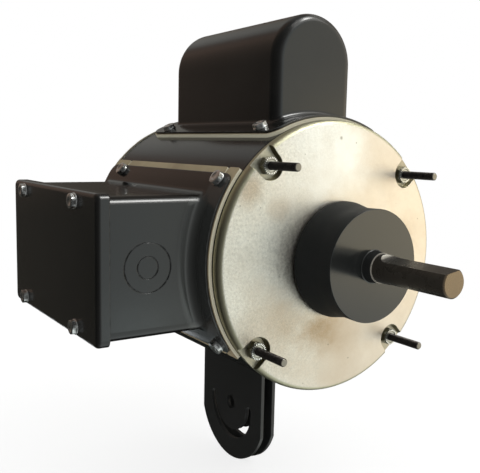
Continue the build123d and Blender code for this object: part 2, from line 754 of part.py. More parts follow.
# Terminal board on two posts over the shell, with its screws and push-on terminals
board_in = shell_r + board_stand_off
board_out = board_in + board_thickness
board_mid = (board_front + board_rear) / 2
board_shape = Pos(board_mid, 0) * RectangleRounded(board_rear - board_front, 2 * board_half_height, 3)
board = across(board_shape, -board_out, -board_in)
posts = across(Sketch() + [Pos(y, 0) * Circle(post_r) for y in post_spots], -board_in, -shell_in_r)
board += posts - disc(shell_r, 0, shell_rear)
board -= across(Sketch() + [Pos(y, 0) * Circle(screw_hole_r) for y in post_spots], -board_out, -shell_in_r)
nodes["terminal_board"] = board
board_reach = board_out - shell_in_r - screw_hole_gap
nodes["board_screws"] = [outward(180, board_out, y) * hex_screw(board_reach) for y in post_spots]
terminals = []
row_pitch = (post_spots[1] - post_spots[0]) / (terminal_rows + 1)
for k in range(terminal_rows):
    y = post_spots[0] + (k + 1) * row_pitch
    for side in (-1, 1):
        z = side * board_half_height / 2
        foot = Pos(-board_out - tab_thickness / 2, y, z) * Box(tab_thickness, tab_width, terminal_base)
        blade = Pos(-board_out - terminal_rise / 2, y, z - side * (terminal_base - tab_thickness) / 2)
        terminals.append(foot + blade * Box(terminal_rise, tab_width, tab_thickness))
nodes["terminals"] = terminals

# Grommet round the leads where they leave the shell, and the ground screw beside it
hole_in = lead_hole_r - grommet_wall
lip_r = lead_hole_r + grommet_lip
grommet_shape = Pos(lead_hole_back, 0) * (Circle(lip_r) - Circle(hole_in))
grommet = across(grommet_shape, -shell_r - grommet_lip_height, grommet_lip_height - shell_in_r)
grommet -= ring(shell_r, shell_in_r, shell_front, shell_rear) - across(
    Pos(lead_hole_back, 0) * Circle(lead_hole_r - spigot_gap), -shell_r - 1, 0)
nodes["lead_grommet"] = grommet
ground_reach = shell_wall + screw_reach
nodes["ground_screw"] = outward(180 - ground_turn, shell_r, lead_hole_back) * hex_screw(ground_reach)


# Yoke plate: a round-ended ear with a pivot hole and a half-circle slot about it, its top
# edge bent outwards into a foot that is welded along the shell
def yoke_plate(side):
    top = pivot_drop - sqrt(shell_r ** 2 - (yoke_gap / 2) ** 2)
    ear = Circle(yoke_bottom_r) & Pos(0, -yoke_bottom_r / 2) * Rectangle(2 * yoke_half_width, yoke_bottom_r)
    ear += Pos(0, (top + shell_wall) / 2) * Rectangle(2 * yoke_half_width, top + shell_wall)
    ear -= Circle(yoke_hole_r)
    slot_mid = (slot_inner_r + slot_outer_r) / 2
    slot_width = slot_outer_r - slot_inner_r
    ear -= SlotArc(CenterArc((0, 0), slot_mid, 180, 180), slot_width)
    inside = yoke_gap / 2
    plate = across(Pos(pivot_back, -pivot_drop) * ear, inside, inside + yoke_sheet)
    foot_in = degrees(asin(inside / shell_r))
    foot_out = degrees(asin((inside + yoke_foot) / shell_r))
    y0 = pivot_back - yoke_half_width
    y1 = pivot_back + yoke_half_width
    foot_mid = 270 + (foot_in + foot_out) / 2
    foot_half = (foot_out - foot_in) / 2
    foot = saddle(shell_r, shell_r + yoke_sheet, foot_mid, foot_half, y0, y1, yoke_sheet)
    right_side = Box(4 * yoke_foot, 4 * yoke_half_width, shell_r)
    foot &= Pos(inside + 2 * yoke_foot, pivot_back, -shell_r) * right_side
    plate = plate - disc(shell_r, 0, shell_rear) + foot
    return plate if side > 0 else mirror(plate, Plane.YZ)


nodes["yoke_plate_left"] = yoke_plate(-1)
nodes["yoke_plate_right"] = yoke_plate(1)

# The finished pieces, moved so that the pivot hole is the origin
to_pivot = Pos(0, -pivot_back, pivot_drop)
for name, piece in nodes.items():
    solids = piece if isinstance(piece, list) else [piece]
    whole = Compound(children=[to_pivot * s for one in solids for s in one.solids()])
    export_step(whole, f"parts/{name}.step")
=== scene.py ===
import bmesh
import bpy
import numpy as np
from mathutils import Matrix, Vector


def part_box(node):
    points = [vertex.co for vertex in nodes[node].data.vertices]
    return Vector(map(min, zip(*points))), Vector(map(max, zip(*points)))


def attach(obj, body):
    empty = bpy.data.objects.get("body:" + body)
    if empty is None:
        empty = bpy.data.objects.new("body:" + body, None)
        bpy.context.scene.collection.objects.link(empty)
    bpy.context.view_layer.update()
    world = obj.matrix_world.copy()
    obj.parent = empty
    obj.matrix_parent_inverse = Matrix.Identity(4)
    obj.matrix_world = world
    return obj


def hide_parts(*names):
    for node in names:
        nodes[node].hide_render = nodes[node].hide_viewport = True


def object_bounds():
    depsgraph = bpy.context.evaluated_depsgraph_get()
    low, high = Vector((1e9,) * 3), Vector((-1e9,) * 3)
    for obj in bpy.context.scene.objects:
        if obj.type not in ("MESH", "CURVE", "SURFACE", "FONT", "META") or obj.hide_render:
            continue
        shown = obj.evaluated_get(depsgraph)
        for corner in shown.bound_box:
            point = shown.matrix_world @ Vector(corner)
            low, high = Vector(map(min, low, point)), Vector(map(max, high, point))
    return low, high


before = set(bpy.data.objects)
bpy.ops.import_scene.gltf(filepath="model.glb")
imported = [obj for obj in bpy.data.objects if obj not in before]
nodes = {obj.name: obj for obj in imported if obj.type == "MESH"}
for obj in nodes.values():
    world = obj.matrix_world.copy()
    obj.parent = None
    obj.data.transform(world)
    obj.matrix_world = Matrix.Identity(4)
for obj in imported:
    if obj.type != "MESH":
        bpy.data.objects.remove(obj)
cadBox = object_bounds()
mm = 0.001
weld = 0.002 * mm  # points nearer than this become one

# the shaft line and the front rim plane, which every depth below counts from
rimDepth = 7.0
saddleR = 85.8  # outer side of the saddle flanges on the shell
shellLow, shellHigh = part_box("motor_shell")
axisZ = (shellLow.z + shellHigh.z) / 2
rimY = shellLow.y - rimDepth * mm
rearY = shellHigh.y + rimDepth * mm
print("frame loaded with", len(nodes), "nodes")


# grids of points in millimetres become quads: rows run along u, columns along v
def gridQuads(points, wrapU=False, wrapV=False):
    rows, cols = points.shape[:2]
    ids = np.arange(rows * cols).reshape(rows, cols)
    ids = np.vstack([ids, ids[:1]]) if wrapU else ids
    ids = np.hstack([ids, ids[:, :1]]) if wrapV else ids
    quads = np.stack([ids[:-1, :-1], ids[1:, :-1], ids[1:, 1:], ids[:-1, 1:]], axis=-1)
    return points.reshape(-1, 3), quads.reshape(-1, 4)


# several grids make one piece: poles and seams are merged, then faces are turned outwards; shade has one value
# per point and marks walls and gaps that get painted shade
def makePiece(name, grids, finish, body, stands, crease=32, shade=None):
    starts = np.cumsum([0] + [len(g[0]) for g in grids[:-1]])
    spots = np.concatenate([g[0] for g in grids]) * mm + np.array([0.0, rimY, axisZ])
    quads = np.concatenate([g[1] + s for g, s in zip(grids, starts)])
    mesh = bpy.data.meshes.new(name)
    mesh.vertices.add(len(spots))
    mesh.vertices.foreach_set("co", spots.astype(np.float32).ravel())
    mesh.loops.add(quads.size)
    mesh.loops.foreach_set("vertex_index", quads.astype(np.int32).ravel())
    mesh.polygons.add(len(quads))
    mesh.polygons.foreach_set("loop_start", np.arange(0, quads.size, 4, dtype=np.int32))
    mesh.update(calc_edges=True)
    if shade is not None:
        wall = mesh.attributes.new("wall", "FLOAT", "POINT")
        wall.data.foreach_set("value", shade.astype(np.float32).ravel())
    work = bmesh.new()
    work.from_mesh(mesh)
    bmesh.ops.remove_doubles(work, verts=work.verts, dist=weld)
    bmesh.ops.recalc_face_normals(work, faces=work.faces)
    work.to_mesh(mesh)
    work.free()
    mesh.polygons.foreach_set("use_smooth", np.ones(len(mesh.polygons), dtype=bool))
    mesh.set_sharp_from_angle(angle=np.radians(crease))
    mesh.materials.append(finish)
    piece = bpy.data.objects.new(name, mesh)
    bpy.context.scene.collection.objects.link(piece)
    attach(piece, body)
    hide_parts(stands)


# an input by its name, or by its place as i0, i1 and so on, gets a value or a link
def feed(tree, node, key, value):
    socket = node.inputs[int(key[1:])] if key[0] == "i" and key[1:].isdigit() else node.inputs[key]
    if isinstance(value, bpy.types.NodeSocket):
        tree.links.new(value, socket)
    else:
        socket.default_value = value


# shader nodes: kind, settings on the node, values or links on its inputs
def put(tree, kind, settings=None, **inputs):
    node = tree.nodes.new(kind)
    for key, value in (settings or {}).items():
        setattr(node, key, value)
    for key, value in inputs.items():
        feed(tree, node, key, value)
    return node


def calc(tree, operation, *values, clamp=False):
    node = put(tree, "ShaderNodeMath", {"operation": operation, "use_clamp": clamp})
    for place, value in enumerate(values):
        feed(tree, node, f"i{place}", value)
    return node.outputs["Value"]


def vectorCalc(tree, operation, *values):
    node = put(tree, "ShaderNodeVectorMath", {"operation": operation})
    for place, value in enumerate(values):
        feed(tree, node, f"i{place}", value)
    return node.outputs["Value" if operation in ("DOT_PRODUCT", "DISTANCE", "LENGTH") else "Vector"]


# a value moved from one span to another, eased at both ends where smooth
def remap(tree, value, low, high, toLow=0.0, toHigh=1.0, smooth=False):
    kind = "SMOOTHSTEP" if smooth else "LINEAR"
    node = put(tree, "ShaderNodeMapRange", {"interpolation_type": kind}, Value=value)
    for key, number in (("From Min", low), ("From Max", high), ("To Min", toLow), ("To Max", toHigh)):
        feed(tree, node, key, number)
    return node.outputs["Result"]


def spreadValue(tree, value, low, high):
    return remap(tree, value, 0.0, 1.0, low, high)


def colourRamp(tree, value, stops):
    ramp = put(tree, "ShaderNodeValToRGB", Fac=value)
    while len(ramp.color_ramp.elements) < len(stops):
        ramp.color_ramp.elements.new(0.5)
    for element, (place, tint) in zip(ramp.color_ramp.elements, stops):
        element.position = place
        element.color = tint
    return ramp.outputs["Color"]


def mixColour(tree, factor, first, second, blend="MIX"):
    node = put(tree, "ShaderNodeMix", {"data_type": "RGBA", "blend_type": blend},
               i0=factor, i6=first, i7=second)
    return node.outputs[2]


def axes(tree, vector):
    return put(tree, "ShaderNodeSeparateXYZ", Vector=vector).outputs


def normalHere(tree):
    return put(tree, "ShaderNodeNewGeometry").outputs["Normal"]


# object coordinates counted from the shaft line
def onShaft(tree, where):
    return put(tree, "ShaderNodeMapping", Vector=where, Location=(0.0, 0.0, -axisZ)).outputs[0]


# a mask that rises from 0 at one depth to 1 at another
def depthMask(tree, where, fullY, noneY):
    return remap(tree, axes(tree, where)["Y"], noneY, fullY)


# node groups: a position and some numbers in, masks, values or normals out
def newGroup(name, numbers, outputs):
    group = bpy.data.node_groups.new(name, "ShaderNodeTree")
    group.interface.new_socket("Vector", in_out="INPUT", socket_type="NodeSocketVector")
    for label, value in numbers.items():
        socket = group.interface.new_socket(label, in_out="INPUT", socket_type="NodeSocketFloat")
        socket.default_value = value
    for label, kind in outputs.items():
        group.interface.new_socket(label, in_out="OUTPUT", socket_type=kind)
    return group, group.nodes.new("NodeGroupInput").outputs, group.nodes.new("NodeGroupOutput").inputs


# cloud: soft noise stretched to full contrast
cloudGroup, gin, gout = newGroup("cloud", dict(Scale=100.0, Detail=4.0, Low=0.35, High=0.65),
                                 dict(Value="NodeSocketFloat"))
noise = put(cloudGroup, "ShaderNodeTexNoise", Vector=gin["Vector"], Scale=gin["Scale"], Detail=gin["Detail"],
            Roughness=0.6)
cloudGroup.links.new(remap(cloudGroup, noise.outputs["Fac"], gin["Low"], gin["High"]), gout["Value"])

# specks: small scattered dots, one in a share of the pattern's cells
speckGroup, gin, gout = newGroup("specks", dict(Scale=200.0, Size=0.2, Share=0.3),
                                 dict(Mask="NodeSocketFloat"))
cells = put(speckGroup, "ShaderNodeTexVoronoi", Vector=gin["Vector"], Scale=gin["Scale"])
near = remap(speckGroup, cells.outputs["Distance"], 0.0, gin["Size"], 1.0, 0.0)
lot = put(speckGroup, "ShaderNodeSeparateColor", Color=cells.outputs["Color"]).outputs["Red"]
chosen = calc(speckGroup, "LESS_THAN", lot, gin["Share"])
speckGroup.links.new(calc(speckGroup, "MULTIPLY", near, chosen), gout["Mask"])

# edge rub and painted highlight: where a rounded normal leaves the true one, broken up by noise; the finishes
# paint these edges lighter
edgeRubHighlightGroup, gin, gout = newGroup("edgeRubAndHighlight", dict(Radius=0.0006, Scale=300.0),
                                dict(Mask="NodeSocketFloat", Normal="NodeSocketVector"))
rounded = put(edgeRubHighlightGroup, "ShaderNodeBevel", {"samples": 6}, Radius=gin["Radius"]).outputs["Normal"]
edge = remap(edgeRubHighlightGroup, vectorCalc(edgeRubHighlightGroup, "DOT_PRODUCT", rounded, normalHere(edgeRubHighlightGroup)), 0.99, 0.8)
broken = put(edgeRubHighlightGroup, "ShaderNodeTexNoise", Vector=gin["Vector"], Scale=gin["Scale"], Detail=3.0)
keep = remap(edgeRubHighlightGroup, broken.outputs["Fac"], 0.4, 0.6)
edgeRubHighlightGroup.links.new(calc(edgeRubHighlightGroup, "MULTIPLY", edge, keep), gout["Mask"])
edgeRubHighlightGroup.links.new(rounded, gout["Normal"])

# dust: a thin film on what faces up, thicker in patches
dustGroup, gin, gout = newGroup("settledDust", dict(Amount=0.1, Scale=60.0), dict(Mask="NodeSocketFloat"))
facing = remap(dustGroup, axes(dustGroup, normalHere(dustGroup))["Z"], 0.25, 1.0)
patches = put(dustGroup, "ShaderNodeTexNoise", Vector=gin["Vector"], Scale=gin["Scale"], Detail=5.0)
film = calc(dustGroup, "MULTIPLY", facing, patches.outputs["Fac"])
dustGroup.links.new(calc(dustGroup, "MULTIPLY", film, gin["Amount"]), gout["Mask"])


def useGroup(tree, group, **inputs):
    return put(tree, "ShaderNodeGroup", {"node_tree": group}, **inputs).outputs


def cloudOf(tree, where, scale, detail=4.0, low=0.35, high=0.65):
    return useGroup(tree, cloudGroup, Vector=where, Scale=scale, Detail=detail, Low=low, High=high)["Value"]


def newFinish(name, metallic=0.0):
    finish = bpy.data.materials.new(name)
    finish.use_nodes = True
    tree = finish.node_tree
    shader = tree.nodes["Principled BSDF"]
    shader.inputs["Metallic"].default_value = metallic
    where = put(tree, "ShaderNodeTexCoord").outputs["Object"]
    return finish, tree, shader, where


def dress(tree, shader, colour, rough):
    feed(tree, shader, "Base Color", colour)
    feed(tree, shader, "Roughness", rough)


def addBump(tree, shader, height, strength, distance, normal=None):
    bump = put(tree, "ShaderNodeBump", Strength=strength, Distance=distance, Height=height)
    if normal is not None:
        tree.links.new(normal, bump.inputs["Normal"])
    tree.links.new(bump.outputs["Normal"], shader.inputs["Normal"])


# black enamel on the sheet metal: orange peel, faint dust, edges painted lighter as rub and painted highlight.
# Clouds are scale, detail, low, high
enamel = dict(deep=(0.0058, 0.0058, 0.0055, 1), worn=(0.0095, 0.0092, 0.0085, 1), edge=(0.085, 0.088, 0.088, 1),
              edgeRadius=0.0007, dust=(0.15, 0.14, 0.12, 1), dustShare=0.05, dustScale=180.0, dull=0.8,
              broad=(22.0, 4.0, 0.3, 0.7), orange=(420.0, 2.0, 0.2, 0.8), peel=0.02, peelDepth=0.0004,
              rough=(0.12, 0.20))
# the box also has a painted sheen, a lighter grey standing in for reflected light, in its front corner: its share
# by the distance from the saddle, and the depths behind the rim between which it ends
boxPaint = dict(enamel, deep=(0.0042, 0.0042, 0.004, 1), worn=(0.006, 0.006, 0.0056, 1), dustShare=0.0,
                cornerSheen=(0.062, 0.066, 0.063, 1), sheenReach=10.0, sheenDepths=(24, 26),
                sheenStops=((0.0, 0.28), (0.25, 0.5), (0.5, 1.0), (0.72, 0.85), (0.98, 0.0)))
yokePaint = dict(enamel, deep=(0.016, 0.0172, 0.0172, 1), worn=(0.022, 0.0232, 0.0232, 1), rough=(0.3, 0.42),
                 edgeRadius=0.0005)


# painted sheen in the front corner where the box flares into its saddle, by the distance from the shaft line
def paintedCornerSheen(tree, where, values):
    spot = axes(tree, where)
    height = calc(tree, "SUBTRACT", spot["Z"], axisZ)
    across = put(tree, "ShaderNodeCombineXYZ", X=spot["X"], Y=height).outputs["Vector"]
    share = remap(tree, vectorCalc(tree, "LENGTH", across), saddleR * mm, (saddleR + values["sheenReach"]) * mm)
    corner = colourRamp(tree, share, [(place, (grey, grey, grey, 1)) for place, grey in values["sheenStops"]])
    full, none = values["sheenDepths"]
    return calc(tree, "MULTIPLY", corner, depthMask(tree, where, rimY + full * mm, rimY + none * mm))


def enamelFinish(name, values):
    finish, tree, shader, where = newFinish(name)
    broad = cloudOf(tree, where, *values["broad"])
    peel = cloudOf(tree, where, *values["orange"])
    rub = useGroup(tree, edgeRubHighlightGroup, Vector=where, Radius=values["edgeRadius"])
    dust = useGroup(tree, dustGroup, Vector=where, Amount=values["dustShare"],
                    Scale=values["dustScale"])["Mask"]
    colour = mixColour(tree, broad, values["deep"], values["worn"])
    colour = mixColour(tree, dust, colour, values["dust"])
    # a lighter grey painted into the box's front corner as a painted reflection
    if "cornerSheen" in values:
        colour = mixColour(tree, paintedCornerSheen(tree, where, values), colour, values["cornerSheen"])
    # the edge colour is partly rub and partly a painted highlight along the edges
    colour = mixColour(tree, rub["Mask"], colour, values["edge"])
    rough = spreadValue(tree, broad, *values["rough"])
    dress(tree, shader, colour, calc(tree, "MULTIPLY_ADD", dust, values["dull"], rough))
    addBump(tree, shader, peel, values["peel"], values["peelDepth"], rub["Normal"])
    return finish


blackEnamel = enamelFinish("blackEnamel", enamel)
boxEnamel = enamelFinish("boxEnamel", boxPaint)
yokeEnamel = enamelFinish("yokeEnamel", yokePaint)
print("enamel ready")

# bare aluminium casting: grey grain with painted glints on the left, cream on the right, tinted patches with a
# painted highlight near the top, dark specks, painted shade in the pockets and on the rim's side; the shell's
# paint laps over the rear edge of its rim. Patches are x, z, size, share, tint
casting = dict(pale=(0.72, 0.655, 0.57, 1), grey=(0.85, 0.82, 0.735, 1), tan=(0.42, 0.30, 0.18, 1),
               speck=(0.16, 0.14, 0.10, 1), wall=(0.24, 0.22, 0.14, 1), rim=(0.52, 0.50, 0.355, 1),
               paintedTopLight=(0.85, 0.855, 0.83, 1), bright=(1, 1, 0.97, 1), paint=(0.012, 0.012, 0.011, 1), lap=5.7,
               broad=(24.0, 6.0, 0.3, 0.7), grain=(1300.0, 3.0, 0.3, 0.7), sand=(650.0, 5.0, 0.32, 0.68),
               mottle=(55.0, 8.0, 0.4, 0.75), greyDrift=0.05, greySpan=(0.045, -0.035), greyShare=(0.05, 1.0),
               mottleShare=(0.0, 0.2), glint=(-0.10, 0.20), dim=(0.42, 0.0), dotShare=(0.0, 0.8),
               rimSpan=(0.12, 0.5), rough=(0.34, 0.52), bump=0.35, bumpDepth=0.00012,
               patchDrift=-0.45, patchSpan=(0.45, -0.1),
               tintPatches=((-0.010, 0.076, 0.075, 0.9, "paintedTopLight"), (-0.013, -0.040, 0.036, 0.95, "tan"),
                       (-0.031, -0.034, 0.032, 0.45, "tan"), (0.004, -0.044, 0.030, 0.26, "tan"),
                       (0.055, 0.010, 0.026, 0.25, "tan"), (-0.064, 0.042, 0.018, 0.62, "tan"),
                       (-0.045, 0.030, 0.014, 0.3, "tan"), (-0.052, -0.040, 0.060, 0.36, "tan"),
                       (0.0, -0.066, 0.060, 0.24, "tan")))
castAluminium, tree, shader, where = newFinish("castAluminium", 1.0)
spot = axes(tree, onShaft(tree, where))
flatSpot = put(tree, "ShaderNodeCombineXYZ", X=spot["X"], Z=spot["Z"]).outputs[0]
broad, grain, sand, mottle = [cloudOf(tree, where, *casting[k]) for k in ("broad", "grain", "sand", "mottle")]
leftward = calc(tree, "MULTIPLY_ADD", broad, casting["greyDrift"], spot["X"])
greyShare = remap(tree, leftward, *casting["greySpan"], *casting["greyShare"], smooth=True)
colour = mixColour(tree, greyShare, casting["pale"], casting["grey"])
# tinted patches at listed spots: the white one near the top is a painted highlight, the others are tan patches
for x, z, size, share, tint in casting["tintPatches"]:
    away = vectorCalc(tree, "DISTANCE", flatSpot, (x, 0.0, z))
    ragged = calc(tree, "MULTIPLY_ADD", broad, casting["patchDrift"] * size, away)
    none, full = [size * edge for edge in casting["patchSpan"]]
    colour = mixColour(tree, remap(tree, ragged, none, full, 0.0, share, smooth=True), colour, casting[tint])
colour = mixColour(tree, spreadValue(tree, mottle, *casting["mottleShare"]), colour, casting["tan"])
# painted glints: near-white sparkle put into the colour of the grain on the left
glint = calc(tree, "MULTIPLY", spreadValue(tree, grain, *casting["glint"]), greyShare, clamp=True)
colour = mixColour(tree, glint, colour, casting["bright"])
dim = calc(tree, "MULTIPLY", spreadValue(tree, sand, *casting["dim"]), greyShare)
colour = mixColour(tree, dim, colour, casting["speck"])
pits = useGroup(tree, speckGroup, Vector=where, Scale=230.0, Size=0.16, Share=0.06)["Mask"]
dots = useGroup(tree, speckGroup, Vector=where, Scale=70.0, Size=0.10, Share=0.10)["Mask"]
colour = mixColour(tree, pits, colour, casting["speck"])
colour = mixColour(tree, spreadValue(tree, dots, *casting["dotShare"]), colour, casting["speck"])
# painted shade: the rim's outward side is darkened towards olive
outward = vectorCalc(tree, "DOT_PRODUCT", vectorCalc(tree, "NORMALIZE", flatSpot), normalHere(tree))
rimShare = remap(tree, outward, *casting["rimSpan"], smooth=True)
colour = mixColour(tree, rimShare, colour, casting["rim"])
fromMiddle = calc(tree, "ABSOLUTE", calc(tree, "SUBTRACT", spot["Y"], (rimY + rearY) / 2))
inner = calc(tree, "LESS_THAN", fromMiddle, (rearY - rimY) / 2 - casting["lap"] * mm)
colour = mixColour(tree, calc(tree, "MULTIPLY", inner, rimShare), colour, casting["paint"])
# painted shade on the pocket walls and floors, by the wall attribute
wall = put(tree, "ShaderNodeAttribute", {"attribute_name": "wall"}).outputs["Fac"]
colour = mixColour(tree, wall, colour, casting["wall"])
dress(tree, shader, colour, spreadValue(tree, sand, *casting["rough"]))
addBump(tree, shader, mixColour(tree, 0.5, grain, sand), casting["bump"], casting["bumpDepth"])
print("casting ready")

# zinc-plated small parts, bright with a faint cloudy bloom and rubbed edges; the washers also get painted shade
# in their hollows and gaps
zinc = dict(rubbed=(0.9, 0.9, 0.88, 1), rubRadius=0.0003, rubScale=900.0, cloud=(330.0, 5.0),
            fine=(1500.0, 2.0))


def zincFinish(name, bright, bloom, rough, paintedShade=None):
    finish, tree, shader, where = newFinish(name, 1.0)
    cloud = cloudOf(tree, where, *zinc["cloud"])
    rub = useGroup(tree, edgeRubHighlightGroup, Vector=where, Radius=zinc["rubRadius"], Scale=zinc["rubScale"])["Mask"]
    colour = mixColour(tree, cloud, bright, bloom)
    colour = mixColour(tree, rub, colour, zinc["rubbed"])
    # painted shade where the wall attribute marks hollows and gaps
    if paintedShade:
        shade = put(tree, "ShaderNodeAttribute", {"attribute_name": "wall"}).outputs["Fac"]
        colour = mixColour(tree, shade, colour, paintedShade)
    dress(tree, shader, colour, spreadValue(tree, cloud, *rough))
    addBump(tree, shader, cloudOf(tree, where, *zinc["fine"]), 0.15, 0.00005)
    return finish


zincSteel = zincFinish("zincSteel", (0.74, 0.745, 0.74, 1), (0.52, 0.53, 0.52, 1), (0.2, 0.38))
ringZinc = zincFinish("ringZinc", (0.95, 0.95, 0.93, 1), (0.80, 0.80, 0.78, 1), (0.26, 0.4),
                      (0.12, 0.115, 0.08, 1))
nutZinc = zincFinish("nutZinc", (0.34, 0.325, 0.25, 1), (0.19, 0.18, 0.125, 1), (0.26, 0.46))

# black oxide on the studs, worn to grey steel on the cut ends
studTip = -25.8
oxide = dict(black=(0.018, 0.017, 0.016, 1), brown=(0.05, 0.042, 0.036, 1), cut=(0.24, 0.225, 0.19, 1),
             cutDepths=(0.1, 0.4), cloud=(420.0, 4.0), rough=(0.28, 0.45))
blackOxide, tree, shader, where = newFinish("blackOxide", 0.7)
cloud = cloudOf(tree, where, *oxide["cloud"])
colour = mixColour(tree, cloud, oxide["black"], oxide["brown"])
cut = depthMask(tree, where, *[rimY + studTip * mm + depth * mm for depth in oxide["cutDepths"]])
colour = mixColour(tree, cut, colour, oxide["cut"])
dress(tree, shader, colour, spreadValue(tree, cloud, *oxide["rough"]))
addBump(tree, shader, cloud, 0.2, 0.00005)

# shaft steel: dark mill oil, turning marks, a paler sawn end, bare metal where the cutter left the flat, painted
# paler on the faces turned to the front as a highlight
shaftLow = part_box("shaft")[0]
oil = dict(dark=(0.042, 0.037, 0.030, 1), warm=(0.054, 0.048, 0.039, 1), end=(0.19, 0.14, 0.085, 1),
           endDepths=(0.1, 0.9), bareAndSheen=(0.42, 0.40, 0.35, 1), sheenSlope=(-0.35, -0.5), bareDepths=(-46, -48),
           cloud=(130.0, 6.0, 0.38, 0.72), rough=(0.26, 0.33))
shaftSteel, tree, shader, where = newFinish("shaftSteel", 0.5)
cloud = cloudOf(tree, where, *oil["cloud"])
centre = onShaft(tree, where)
marks = put(tree, "ShaderNodeTexWave", {"wave_type": "BANDS", "bands_direction": "Y"}, Vector=centre,
            Scale=420.0, Distortion=1.5)
swirl = put(tree, "ShaderNodeTexWave", {"wave_type": "RINGS", "rings_direction": "Y"}, Vector=centre,
            Scale=380.0, Distortion=1.0)
colour = mixColour(tree, cloud, oil["dark"], oil["warm"])
# bare metal and painted highlight: a pale crescent at the flat's run-out, by which way the surface faces
runOut = remap(tree, axes(tree, normalHere(tree))["Y"], *oil["sheenSlope"])
behind = depthMask(tree, where, *[rimY + depth * mm for depth in oil["bareDepths"]])
colour = mixColour(tree, calc(tree, "MULTIPLY", runOut, behind), colour, oil["bareAndSheen"])
endMask = depthMask(tree, where, *[shaftLow.y + depth * mm for depth in oil["endDepths"]])
colour = mixColour(tree, endMask, colour, oil["end"])
dress(tree, shader, colour, spreadValue(tree, cloud, *oil["rough"]))
addBump(tree, shader, mixColour(tree, endMask, marks.outputs["Fac"], swirl.outputs["Fac"]), 0.08, 0.00005)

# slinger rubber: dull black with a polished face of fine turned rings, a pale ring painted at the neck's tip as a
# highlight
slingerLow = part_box("slinger")[0]
rubber = dict(black=(0.0125, 0.0138, 0.0135, 1), bloom=(0.016, 0.0172, 0.0168, 1), edge=(0.32, 0.30, 0.26, 1),
              tipHighlightDepths=(0.3, 0.7), polish=(-0.6, -0.9), face=(0.15, 0.2), side=0.65, gloss=0.2, coat=0.8,
              coatRough=0.17, cloud=(45.0, 6.0), fine=(1400.0, 2.0))
slingerRubber, tree, shader, where = newFinish("slingerRubber")
cloud = cloudOf(tree, where, *rubber["cloud"])
rings = put(tree, "ShaderNodeTexWave", {"wave_type": "RINGS", "rings_direction": "Y"},
            Vector=onShaft(tree, where), Scale=260.0, Distortion=0.6)
colour = mixColour(tree, cloud, rubber["black"], rubber["bloom"])
# painted highlight: a pale ring at the neck's tip
tip = depthMask(tree, where, *[slingerLow.y + depth * mm for depth in rubber["tipHighlightDepths"]])
colour = mixColour(tree, tip, colour, rubber["edge"])
polished = remap(tree, axes(tree, normalHere(tree))["Y"], *rubber["polish"])
rough = put(tree, "ShaderNodeMix", Factor=polished, A=rubber["side"],
            B=spreadValue(tree, cloud, *rubber["face"]))
dress(tree, shader, colour, rough.outputs[0])
feed(tree, shader, "Coat Weight", spreadValue(tree, polished, 0.0, rubber["coat"]))
shader.inputs["Coat Roughness"].default_value = rubber["coatRough"]
shader.inputs["Specular IOR Level"].default_value = rubber["gloss"]
fine = cloudOf(tree, where, *rubber["fine"])
addBump(tree, shader, mixColour(tree, 0.4, fine, rings.outputs["Fac"]), 0.06, 0.0001)

# foam tape gasket: tan skin on its broad faces, cream on the cut edges, open pores
gasketValues = dict(skin=(0.37, 0.30, 0.18, 1), stain=(0.28, 0.22, 0.13, 1), cut=(0.73, 0.69, 0.53, 1),
                    pore=(0.20, 0.15, 0.09, 1), poreShare=(0.0, 0.35), cutSpan=(0.9, 0.6), rough=0.85,
                    cloud=(32.0, 5.0), grain=(900.0, 3.0))
gasketSheet, tree, shader, where = newFinish("gasketSheet")
flatSpot = vectorCalc(tree, "MULTIPLY", onShaft(tree, where), (1.0, 0.0, 1.0))
outward = vectorCalc(tree, "DOT_PRODUCT", vectorCalc(tree, "NORMALIZE", flatSpot), normalHere(tree))
pores = useGroup(tree, speckGroup, Vector=where, Scale=1100.0, Size=0.3, Share=0.5)["Mask"]
cloud = cloudOf(tree, where, *gasketValues["cloud"])
colour = mixColour(tree, cloud, gasketValues["skin"], gasketValues["stain"])
colour = mixColour(tree, remap(tree, outward, *gasketValues["cutSpan"]), colour, gasketValues["cut"])
colour = mixColour(tree, spreadValue(tree, pores, *gasketValues["poreShare"]), colour, gasketValues["pore"])
dress(tree, shader, colour, gasketValues["rough"])
addBump(tree, shader, cloudOf(tree, where, *gasketValues["grain"]), 0.4, 0.00015)
print("steel, rubber and gasket ready")


# inner pieces: one cloudy finish each
def innerFinish(name, first, second, rough, metallic=0.0):
    finish, tree, shader, where = newFinish(name, metallic)
    cloud = cloudOf(tree, where, 150.0, 5.0)
    dress(tree, shader, mixColour(tree, cloud, first, second), spreadValue(tree, cloud, *rough))
    addBump(tree, shader, cloud, 0.1, 0.0001)
    return finish


bearingSteel = innerFinish("bearingSteel", (0.70, 0.70, 0.70, 1), (0.62, 0.62, 0.63, 1), (0.1, 0.2), 1.0)
canAluminium = innerFinish("canAluminium", (0.80, 0.80, 0.79, 1), (0.72, 0.72, 0.72, 1), (0.25, 0.35), 1.0)
phenolic = innerFinish("phenolicBoard", (0.10, 0.045, 0.02, 1), (0.16, 0.075, 0.03, 1), (0.4, 0.55))
brass = innerFinish("terminalBrass", (0.75, 0.56, 0.25, 1), (0.66, 0.47, 0.20, 1), (0.2, 0.35), 1.0)
groundGreen = innerFinish("groundGreen", (0.03, 0.20, 0.05, 1), (0.05, 0.26, 0.08, 1), (0.3, 0.45))
blackRubber = innerFinish("blackRubber", (0.02, 0.02, 0.02, 1), (0.04, 0.04, 0.038, 1), (0.55, 0.7))
cageSteel = innerFinish("cageSteel", (0.55, 0.55, 0.55, 1), (0.45, 0.45, 0.45, 1), (0.25, 0.4), 1.0)


